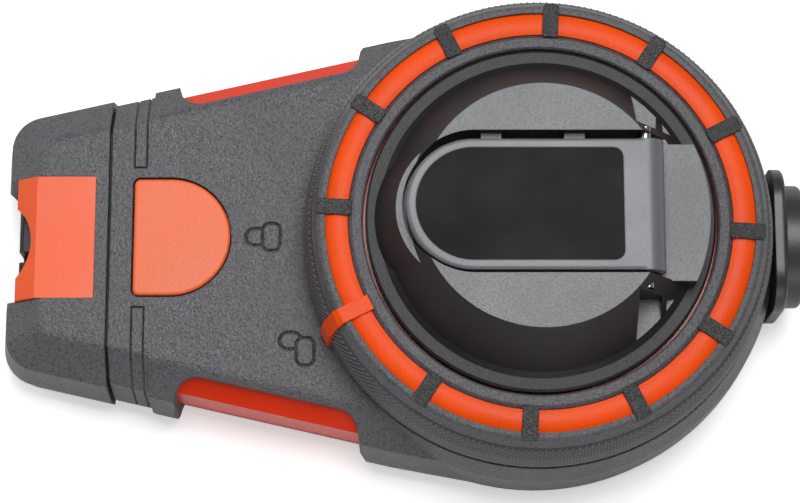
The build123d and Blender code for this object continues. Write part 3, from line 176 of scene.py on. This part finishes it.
class SurfaceGroups:
    """The node groups that give finishes their colour variation, painted highlight and shade on their relief,
    roughness and relief.
    """

    SOCKETS = (("Colour", "NodeSocketColor"), ("Shade", "NodeSocketColor"), ("Rough Low", "NodeSocketFloat"),
               ("Rough High", "NodeSocketFloat"), ("Grain", "NodeSocketFloat"), ("Depth", "NodeSocketFloat"),
               ("Edge", "NodeSocketFloat"), ("Stretch", "NodeSocketVector"), ("Painted Grain Light", "NodeSocketFloat"))

    TROUGH = -0.20
    CREST = 0.18

    def __init__(self) -> None:
        """Builds one group for each kind of relief."""
        self.groups = {Relief.PEBBLED: self._pebbled(), Relief.YARN: self._yarn()}

    def _start(self, name: str) -> tuple[bpy.types.NodeTree, Wiring, Any, Any]:
        """Makes an empty group with the shared sockets, and its stretched coordinates.

        Args:
            name: Name of the group.

        Returns:
            The group, its wiring, its input node and the coordinate socket.
        """
        tree = bpy.data.node_groups.new(name, "ShaderNodeTree")
        for label, kind in self.SOCKETS:
            tree.interface.new_socket(label, in_out="INPUT", socket_type=kind)
        tree.interface.new_socket("Colour", in_out="OUTPUT", socket_type="NodeSocketColor")
        tree.interface.new_socket("Roughness", in_out="OUTPUT", socket_type="NodeSocketFloat")
        tree.interface.new_socket("Normal", in_out="OUTPUT", socket_type="NodeSocketVector")
        wire = Wiring(tree)
        given = wire.add("NodeGroupInput")
        place = wire.add("ShaderNodeTexCoord").outputs["Object"]
        scaled = wire.add("ShaderNodeVectorMath", {0: place, 1: given.outputs["Stretch"]},
                          operation="MULTIPLY")
        return tree, wire, given, scaled.outputs[0]

    def _finish(self, wire: Wiring, given: Any, place: Any, height: Any) -> None:
        """Adds the colour and roughness drift, the painted highlight on the relief's crests and the painted
        shade in its troughs, and the bump, and joins the outputs.

        Args:
            wire: Wiring of the group.
            given: The group's input node.
            place: Coordinate socket.
            height: Height socket of the relief.
        """
        drift = wire.add("ShaderNodeTexNoise", {"Vector": place, "Scale": DRIFT_PER_M, "Detail": 4.0})
        base = wire.add("ShaderNodeMix", {0: drift.outputs[0], 6: given.outputs["Shade"],
                                          7: given.outputs["Colour"]}, data_type="RGBA")
        # painted light on the relief: crests lighter as painted highlight, troughs darker as painted shade
        low = wire.add("ShaderNodeMath", {0: 1.0, 1: given.outputs["Painted Grain Light"]}, operation="SUBTRACT")
        high = wire.add("ShaderNodeMath", {0: 1.0, 1: given.outputs["Painted Grain Light"]}, operation="ADD")
        grain = wire.add("ShaderNodeMapRange", {
            "Value": height, "From Min": self.TROUGH, "From Max": self.CREST,
            "To Min": low.outputs[0], "To Max": high.outputs[0]})
        colour = wire.add("ShaderNodeVectorMath", {0: base.outputs[2], 3: grain.outputs[0]},
                          operation="SCALE")
        rough = wire.add("ShaderNodeMapRange", {
            "Value": drift.outputs[0], "From Min": DRIFT_LOW, "From Max": DRIFT_HIGH,
            "To Min": given.outputs["Rough Low"], "To Max": given.outputs["Rough High"]})
        rounded = wire.add("ShaderNodeBevel", {"Radius": given.outputs["Edge"]}, samples=4)
        bump = wire.add("ShaderNodeBump", {"Height": height, "Distance": given.outputs["Depth"],
                                           "Strength": 1.0, "Normal": rounded.outputs[0]})
        wire.add("NodeGroupOutput", {"Colour": colour.outputs[0], "Roughness": rough.outputs[0],
                                     "Normal": bump.outputs[0]})

    def _pebbled(self) -> bpy.types.NodeTree:
        """Leather-like pebbles broken up by noise; fine values read as moulded satin."""
        tree, wire, given, place = self._start("pebbled_relief")
        grain = given.outputs["Grain"]
        wander = wire.add("ShaderNodeTexNoise", {"Vector": place, "Scale": grain, "Detail": 2.0})
        shift = wire.add("ShaderNodeVectorMath", {0: wander.outputs[1], 3: WANDER_M}, operation="SCALE")
        moved = wire.add("ShaderNodeVectorMath", {0: place, 1: shift.outputs[0]}, operation="ADD")
        cells = wire.add("ShaderNodeTexVoronoi", {"Vector": moved.outputs[0], "Scale": grain},
                         feature="SMOOTH_F1")
        fine = wire.add("ShaderNodeTexNoise", {"Vector": place, "Scale": grain, "Detail": 4.0})
        height = wire.add("ShaderNodeMath", {0: fine.outputs[0], 1: cells.outputs["Distance"]},
                          operation="SUBTRACT")
        self._finish(wire, given, place, height.outputs[0])
        return tree

    def _yarn(self) -> bpy.types.NodeTree:
        """Slanted twist of a cotton line."""
        tree, wire, given, place = self._start("twisted_yarn")
        twist = wire.add("ShaderNodeTexWave", {"Vector": place, "Scale": given.outputs["Grain"],
                                               "Distortion": YARN_WOBBLE}, bands_direction="DIAGONAL")
        self._finish(wire, given, place, twist.outputs["Fac"])
        return tree


class Paintshop:
    """Makes each finish's material once and puts it on pieces."""

    def __init__(self) -> None:
        """Builds the shared groups."""
        self.surface = SurfaceGroups()
        self.made: dict[str, bpy.types.Material] = {}

    def material(self, finish: Finish) -> bpy.types.Material:
        """Returns the finish's material, making it the first time.

        Args:
            finish: The finish wanted.

        Returns:
            Its material.
        """
        if finish.name in self.made:
            return self.made[finish.name]
        material = bpy.data.materials.new(finish.name)
        material.use_nodes = True
        material.node_tree.nodes.clear()
        wire = Wiring(material.node_tree)
        shade = tuple(value * (1 - MOTTLE_REACH * finish.mottle) for value in finish.colour)
        group = wire.add("ShaderNodeGroup", node_tree=self.surface.groups[finish.relief])
        values = {"Colour": linear(finish.colour), "Shade": linear(shade),
                  "Rough Low": finish.rough - finish.rough_spread,
                  "Rough High": finish.rough + finish.rough_spread,
                  "Grain": 1 / (finish.grain_mm * MM), "Depth": finish.depth_mm * MM,
                  "Edge": finish.edge_mm * MM, "Stretch": finish.stretch, "Painted Grain Light": finish.painted_grain_light}
        for key, value in values.items():
            group.inputs[key].default_value = value
        colour = group.outputs["Colour"]
        rough = group.outputs["Roughness"]
        # painted sheen on high level faces, painted shade on slopes and low faces
        if finish.painted_sheen_above_mm is not None:
            colour, rough = self._painted_sheen_and_flank_shade(wire, colour, rough, finish)
        # painted shade in the engraved marks' groove bottoms
        if finish.groove_shade_below_mm is not None:
            colour = self._painted_groove_shade(wire, colour, finish)
        # painted shade in the knurl's valleys and painted highlight on its peaks, by the lift share
        if finish.knurl_valley_shade:
            lift = wire.add("ShaderNodeAttribute", attribute_name=LIFT)
            colour = self._blend(wire, lift.outputs["Fac"], linear(finish.dark_and_shade), colour)
        if finish.crown_mm is not None:
            colour = self._dark_crown(wire, colour, finish)
        shader = wire.add("ShaderNodeBsdfPrincipled", {
            "Base Color": colour, "Roughness": rough, "Normal": group.outputs["Normal"],
            "Specular IOR Level": finish.specular, "Metallic": finish.metal,
            "Coat Weight": finish.coat, "Coat Roughness": COAT_ROUGH})
        wire.add("ShaderNodeOutputMaterial", {"Surface": shader.outputs[0]})
        self.made[finish.name] = material
        return material

    @staticmethod
    def _blend(wire: Wiring, share: Any, none: Any, full: Any) -> Any:
        """Mixes two colours by a mask.

        Args:
            wire: Wiring of the material.
            share: Mask socket.
            none: Colour where the mask is 0.
            full: Colour where the mask is 1.

        Returns:
            The mixed colour socket.
        """
        return wire.add("ShaderNodeMix", {0: share, 6: none, 7: full}, data_type="RGBA").outputs[2]

    @staticmethod
    def _tilt_and_height(wire: Wiring) -> tuple[Any, Any]:
        """How level a face is, as its normal's upright share, and how high it is.

        Args:
            wire: Wiring of the material.

        Returns:
            The tilt socket and the height socket.
        """
        given = wire.add("ShaderNodeTexCoord")
        turned = wire.add("ShaderNodeSeparateXYZ", {0: given.outputs["Normal"]})
        place = wire.add("ShaderNodeSeparateXYZ", {0: given.outputs["Object"]})
        return turned.outputs[2], place.outputs[2]

    @staticmethod
    def _step(wire: Wiring, place: Any, middle_mm: float) -> Any:
        """A mask that goes from 0 to 1 over a fifth of a millimetre round a height.

        Args:
            wire: Wiring of the material.
            place: Height socket, in metres.
            middle_mm: The height of the change.

        Returns:
            The mask socket.
        """
        step = wire.add("ShaderNodeMapRange", {"Value": place, "From Min": (middle_mm - STEP_HALF_MM) * MM,
                                               "From Max": (middle_mm + STEP_HALF_MM) * MM})
        return step.outputs[0]

    def _dark_crown(self, wire: Wiring, colour: Any, finish: Finish) -> Any:
        """Darkens what stands above a height, such as ribs over their ring.

        Args:
            wire: Wiring of the material.
            colour: Colour socket below that height.
            finish: The finish, with its height and dark colour.

        Returns:
            The mixed colour socket.
        """
        _, height = self._tilt_and_height(wire)
        above = self._step(wire, height, finish.crown_mm)
        return self._blend(wire, above, colour, linear(finish.dark_and_shade))

    def _painted_groove_shade(self, wire: Wiring, colour: Any, finish: Finish) -> Any:
        """Blackens the level bottoms of marks engraved just below the deck, as painted shade in the grooves.

        Args:
            wire: Wiring of the material.
            colour: Colour socket of the rest.
            finish: The finish, with the deck's height and the dark colour.

        Returns:
            The mixed colour socket.
        """
        tilt, height = self._tilt_and_height(wire)
        level = wire.add("ShaderNodeMath", {0: tilt, 1: GROOVE_TILT}, operation="GREATER_THAN")
        above = self._step(wire, height, finish.groove_shade_below_mm)
        mask = wire.add("ShaderNodeMath", {0: level.outputs[0], 1: above},
                        operation="SUBTRACT", use_clamp=True)
        return self._blend(wire, mask.outputs[0], colour, linear(finish.dark_and_shade))

    def _painted_sheen_and_flank_shade(self, wire: Wiring, colour: Any, rough: Any, finish: Finish) -> tuple[Any, Any]:
        """Keeps level faces above a height a light satin grey as painted sheen, and paints slopes and low
        faces black as painted shade.

        Args:
            wire: Wiring of the material.
            colour: Colour socket of the level faces, with their painted sheen.
            rough: Roughness socket of the level faces.
            finish: The finish, with its height and the dark colour of the painted shade.

        Returns:
            The mixed colour and roughness sockets.
        """
        tilt, height = self._tilt_and_height(wire)
        level = wire.add("ShaderNodeMapRange", {"Value": tilt, "From Min": FLANK_TILT, "From Max": DECK_TILT})
        above = self._step(wire, height, finish.painted_sheen_above_mm)
        mask = wire.add("ShaderNodeMath", {0: level.outputs[0], 1: above}, operation="MULTIPLY")
        duller = wire.add("ShaderNodeMix", {0: mask.outputs[0], 2: FLANK_ROUGH, 3: rough}, data_type="FLOAT")
        return self._blend(wire, mask.outputs[0], linear(finish.dark_and_shade), colour), duller.outputs[0]

    def dress(self, piece: bpy.types.Object, finish: Finish) -> None:
        """Gives a piece one finish all over.

        Args:
            piece: The piece or CAD node.
            finish: Its finish.
        """
        material = self.material(finish)
        if not piece.material_slots:
            piece.data.materials.append(material)
        for place in piece.material_slots:
            place.material = material


@dataclass
class SubAssembly:
    """A group of CAD nodes that one bench operation would fit, with their finishes."""

    paint: Paintshop
    finishes: dict[str, Finish] = field(default_factory=dict)

    def dress(self) -> None:
        """Puts each node's finish on it and reports it."""
        for node, finish in self.finishes.items():
            self.paint.dress(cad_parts[node], finish)
            log.info("%s: %s in %s", type(self).__name__, node, finish.name)


@dataclass
class Housing(SubAssembly):
    """The two shells, their soft skins and what is fixed in them."""

    screws: int = 6

    def dress(self) -> None:
        """Dresses skins, cores, tail socket and fixings."""
        steel = ["axle", "axle_screw", "axle_washer", "guide_pin"]
        steel += [f"housing_screw_{number}" for number in range(1, self.screws + 1)]
        self.finishes = {"rear_overmold": GRIP, "front_overmold": GRIP, "rear_core": SHELL,
                         "front_core": SHELL, "tail_socket": TAIL_GRIP, "ring_gear": GEAR,
                         "thrust_washer": GEAR, "shaft_felt": FELT, "line_run": COTTON,
                         "button_spring": SPRING, **dict.fromkeys(steel, STEEL)}
        super().dress()


@dataclass
class Nose(SubAssembly):
    """The pull-off nose, its mouth, wipers and the line's hook."""

    def dress(self) -> None:
        """Dresses the nose, the seal and wipers and the hook."""
        self.finishes = {"nose_overmold": GRIP, "nose_core": MOUTH, "nose_seal": SEAL, "felt_wiper_1": FELT,
                         "felt_wiper_2": FELT, "line_eyelet": STEEL, "line_hook": HOOK, "line_crimp": STEEL,
                         "line_lead": COTTON}
        super().dress()


@dataclass
class Button(SubAssembly):
    """Release button and catch."""

    def dress(self) -> None:
        """Dresses button and catch."""
        self.finishes = {"release_button": BUTTON, "latch_catch": LATCH}
        super().dress()


@dataclass
class Plug(SubAssembly):
    """Chalk filler plug in the tail."""

    def dress(self) -> None:
        """Dresses plug and seal."""
        self.finishes = {"tail_plug": TAIL_GRIP, "plug_seal": SEAL}
        super().dress()


@dataclass
class Spool(SubAssembly):
    """Spool, winding and the gears that drive them."""

    planets: int = 3

    def dress(self) -> None:
        """Dresses spool, winding, sun and planets."""
        planets = {f"planet_gear_{number}": GEAR for number in range(1, self.planets + 1)}
        self.finishes = {"spool": SPOOL, "line_winding": COTTON, "sun_gear": GEAR, **planets}
        super().dress()


@dataclass
class Crank(SubAssembly):
    """Hub, carrier, fold-away arm and knob."""

    planets: int = 3

    def dress(self) -> None:
        """Dresses hub, arm, label, knob and fixings."""
        places = range(1, self.planets + 1)
        pins = [f"{kind}_{number}" for kind in ("planet_pin", "carrier_screw") for number in places]
        self.finishes = {"crank_hub": HUB, "hub_base": LATCH, "planet_carrier": GEAR, "crank_arm": ARM,
                         "arm_label": LABEL, "crank_knob": KNOB, "hinge_pin": STEEL, "knob_pin": STEEL,
                         **dict.fromkeys(pins, STEEL)}
        super().dress()


@dataclass
class LockRing(SubAssembly):
    """Brake lock ring with its inlay, shoe and knurled skirt."""

    skirt_mm: tuple[tuple[float, float], ...] = ((60.2, 32.2), (59.5, 40.0), (58.3, 45.6), (56.4, 49.4))
    knurl_low_mm: float = 32.8
    knurl_high_mm: float = 46.9
    columns: int = 880
    rows: int = 24
    valley_mm: float = 0.03
    peak_mm: float = 0.55
    sunk_mm: float = 0.5

    def _skirt_radius(self, height_mm: float) -> float:
        """Radius of the plain skirt at a height, both in millimetres."""
        for (r_low, z_low), (r_high, z_high) in zip(self.skirt_mm, self.skirt_mm[1:]):
            if height_mm <= z_high:
                share = (height_mm - z_low) / (z_high - z_low)
                return r_low + share * (r_high - r_low)
        return self.skirt_mm[-1][0]

    def build(self) -> list[bpy.types.Object]:
        """Spins a closed sleeve round the skirt and raises its diamonds.

        Returns:
            The knurled sleeve.
        """
        step = (self.knurl_high_mm - self.knurl_low_mm) / self.rows
        heights = [self.knurl_low_mm + row * step for row in range(self.rows + 1)]
        outer = [(self._skirt_radius(z) + self.valley_mm, z) for z in heights]
        inner = [(self._skirt_radius(z) - self.sunk_mm, z) for z in (heights[-1], heights[0])]
        shape = bmesh.new()
        ring = [shape.verts.new((r * MM, 0.0, z * MM)) for r, z in outer + inner]
        edges = [shape.edges.new((a, b)) for a, b in zip(ring, ring[1:] + ring[:1])]
        bmesh.ops.spin(shape, geom=ring + edges, axis=(0, 0, 1), cent=(0, 0, 0), dvec=(0, 0, 0),
                       angle=2 * math.pi, steps=self.columns, use_merge=True)
        bmesh.ops.remove_doubles(shape, verts=shape.verts, dist=1e-6)
        # the lift share also masks the painted valley shade and peak highlight
        lift = shape.verts.layers.float.new(LIFT)
        for vert in shape.verts:
            vert[lift] = self._raise(vert, step)
        bmesh.ops.recalc_face_normals(shape, faces=shape.faces)
        mesh = bpy.data.meshes.new("ring_knurl")
        shape.to_mesh(mesh)
        shape.free()
        sleeve = bpy.data.objects.new("ring_knurl", mesh)
        bpy.context.scene.collection.objects.link(sleeve)
        return [sleeve]

    def _raise(self, vert: bmesh.types.BMVert, step: float) -> float:
        """Pushes one vertex of the sleeve out by its height in the diamond lattice.

        Args:
            vert: The vertex.
            step: Height between rows, in millimetres.

        Returns:
            Its share of a diamond's full height.
        """
        radius = math.hypot(vert.co.x, vert.co.y) / MM
        height = vert.co.z / MM
        if radius < self._skirt_radius(height) - self.sunk_mm / 2:
            return 0.0
        column = round(math.atan2(vert.co.y, vert.co.x) / (2 * math.pi) * self.columns)
        row = round((height - self.knurl_low_mm) / step)
        if row in (0, self.rows):
            return 0.0
        reach = [abs((column + shift + 2) % 4 - 2) + abs((row + shift + 2) % 4 - 2) for shift in (0, 2)]
        share = max(0.0, 1 - min(reach) / 2)
        outward = 1 + share * (self.peak_mm - self.valley_mm) / radius
        vert.co.x *= outward
        vert.co.y *= outward
        return share

    def dress(self) -> None:
        """Dresses ring, inlay, shoe and pad."""
        self.finishes = {"lock_ring": RING_GRIP, "ring_inlay": TRIM, "lock_shoe": LATCH, "shoe_pad": BRAKE}
        super().dress()


@dataclass(frozen=True)
class SoftBox:
    """A square lamp: its name, centre, side in metres and power in watts."""

    name: str
    place: Triple
    size: float
    power: float


@dataclass
class Studio:
    """Floor, lights and camera."""

    lamps: tuple[SoftBox, ...] = (SoftBox("overhead_softbox", (0.05, 0.26, 1.0), 0.6, 9.6),
                                  SoftBox("left_softbox", (-0.80, 0.25, 0.45), 0.35, 1.6),
                                  SoftBox("front_softbox", (0.10, -0.85, 0.35), 0.5, 1.6))

    target: Triple = (-0.03541, -0.00276, 0.025)
    camera_place: Triple = (-0.03541, -0.14555, 0.6542)
    lens_mm: float = 111.1
    floor_half: float = 3.0
    floor_level: float = 0.9
    floor_rough: float = 0.9
    floor_glow: float = 0.45
    world_level: float = 0.16

    def build(self) -> None:
        """Sets up floor, world, lamps and camera."""
        scene = bpy.context.scene
        scene.view_settings.view_transform = "Standard"
        self._world(scene)
        self._floor()
        for box in self.lamps:
            self._lamp(box)
        camera = bpy.data.objects.new("camera", bpy.data.cameras.new("camera"))
        camera.data.lens = self.lens_mm
        camera.data.clip_start = CLOSE_CLIP
        camera.location = self.camera_place
        camera.rotation_euler = self._aimed_from(self.camera_place)
        scene.collection.objects.link(camera)
        scene.camera = camera

    def _world(self, scene: bpy.types.Scene) -> None:
        """Lights evenly, and shows white to the camera."""
        world = bpy.data.worlds.new("studio_world")
        scene.world = world
        world.use_nodes = True
        world.node_tree.nodes.clear()
        wire = Wiring(world.node_tree)
        path = wire.add("ShaderNodeLightPath")
        level = wire.add("ShaderNodeMapRange", {
            "Value": path.outputs["Is Camera Ray"], "To Min": self.world_level, "To Max": 1.0})
        back = wire.add("ShaderNodeBackground", {"Color": (1, 1, 1, 1), "Strength": level.outputs[0]})
        wire.add("ShaderNodeOutputWorld", {"Surface": back.outputs[0]})

    def _floor(self) -> None:
        """A flat white floor under the reel that keeps its shadow."""
        shape = bmesh.new()
        bmesh.ops.create_grid(shape, x_segments=1, y_segments=1, size=self.floor_half)
        mesh = bpy.data.meshes.new("floor")
        shape.to_mesh(mesh)
        shape.free()
        floor = bpy.data.objects.new("floor", mesh)
        bpy.context.scene.collection.objects.link(floor)
        material = bpy.data.materials.new("floor_white")
        material.use_nodes = True
        material.node_tree.nodes.clear()
        wire = Wiring(material.node_tree)
        seen = wire.add("ShaderNodeLightPath").outputs["Is Camera Ray"]
        glow = wire.add("ShaderNodeMapRange", {"Value": seen, "To Min": 0.0, "To Max": self.floor_glow})
        paper = (self.floor_level, self.floor_level, self.floor_level, 1)
        shader = wire.add("ShaderNodeBsdfPrincipled", {
            "Base Color": paper, "Roughness": self.floor_rough, "Emission Color": (1, 1, 1, 1),
            "Emission Strength": glow.outputs[0]})
        wire.add("ShaderNodeOutputMaterial", {"Surface": shader.outputs[0]})
        mesh.materials.append(material)

    def _aimed_from(self, place: Triple) -> Any:
        """Rotation that faces the reel from a place, for a lamp or the camera."""
        return (Vector(self.target) - Vector(place)).to_track_quat("-Z", "Y").to_euler()

    def _lamp(self, box: SoftBox) -> None:
        """Adds a soft box that faces the reel.

        Args:
            box: The lamp's name, place, size and power.
        """
        data = bpy.data.lights.new(box.name, "AREA")
        data.size = box.size
        data.energy = box.power
        lamp = bpy.data.objects.new(box.name, data)
        lamp.location = box.place
        lamp.rotation_euler = self._aimed_from(box.place)
        bpy.context.scene.collection.objects.link(lamp)


def main() -> None:
    """Builds and dresses the reel part by part, then the studio."""
    logging.basicConfig(level=logging.INFO, format="%(name)s: %(message)s")
    paint = Paintshop()
    for group in (Housing, Nose, Button, Plug, Spool, Crank):
        group(paint).dress()
    ring = LockRing(paint)
    ring.dress()
    for sleeve in ring.build():
        paint.dress(sleeve, KNURL_GRIP)
        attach(sleeve, "lock_ring")
        log.info("LockRing: %s with %d faces", sleeve.name, len(sleeve.data.polygons))
    Studio().build()


if __name__ == "__main__":
    main()
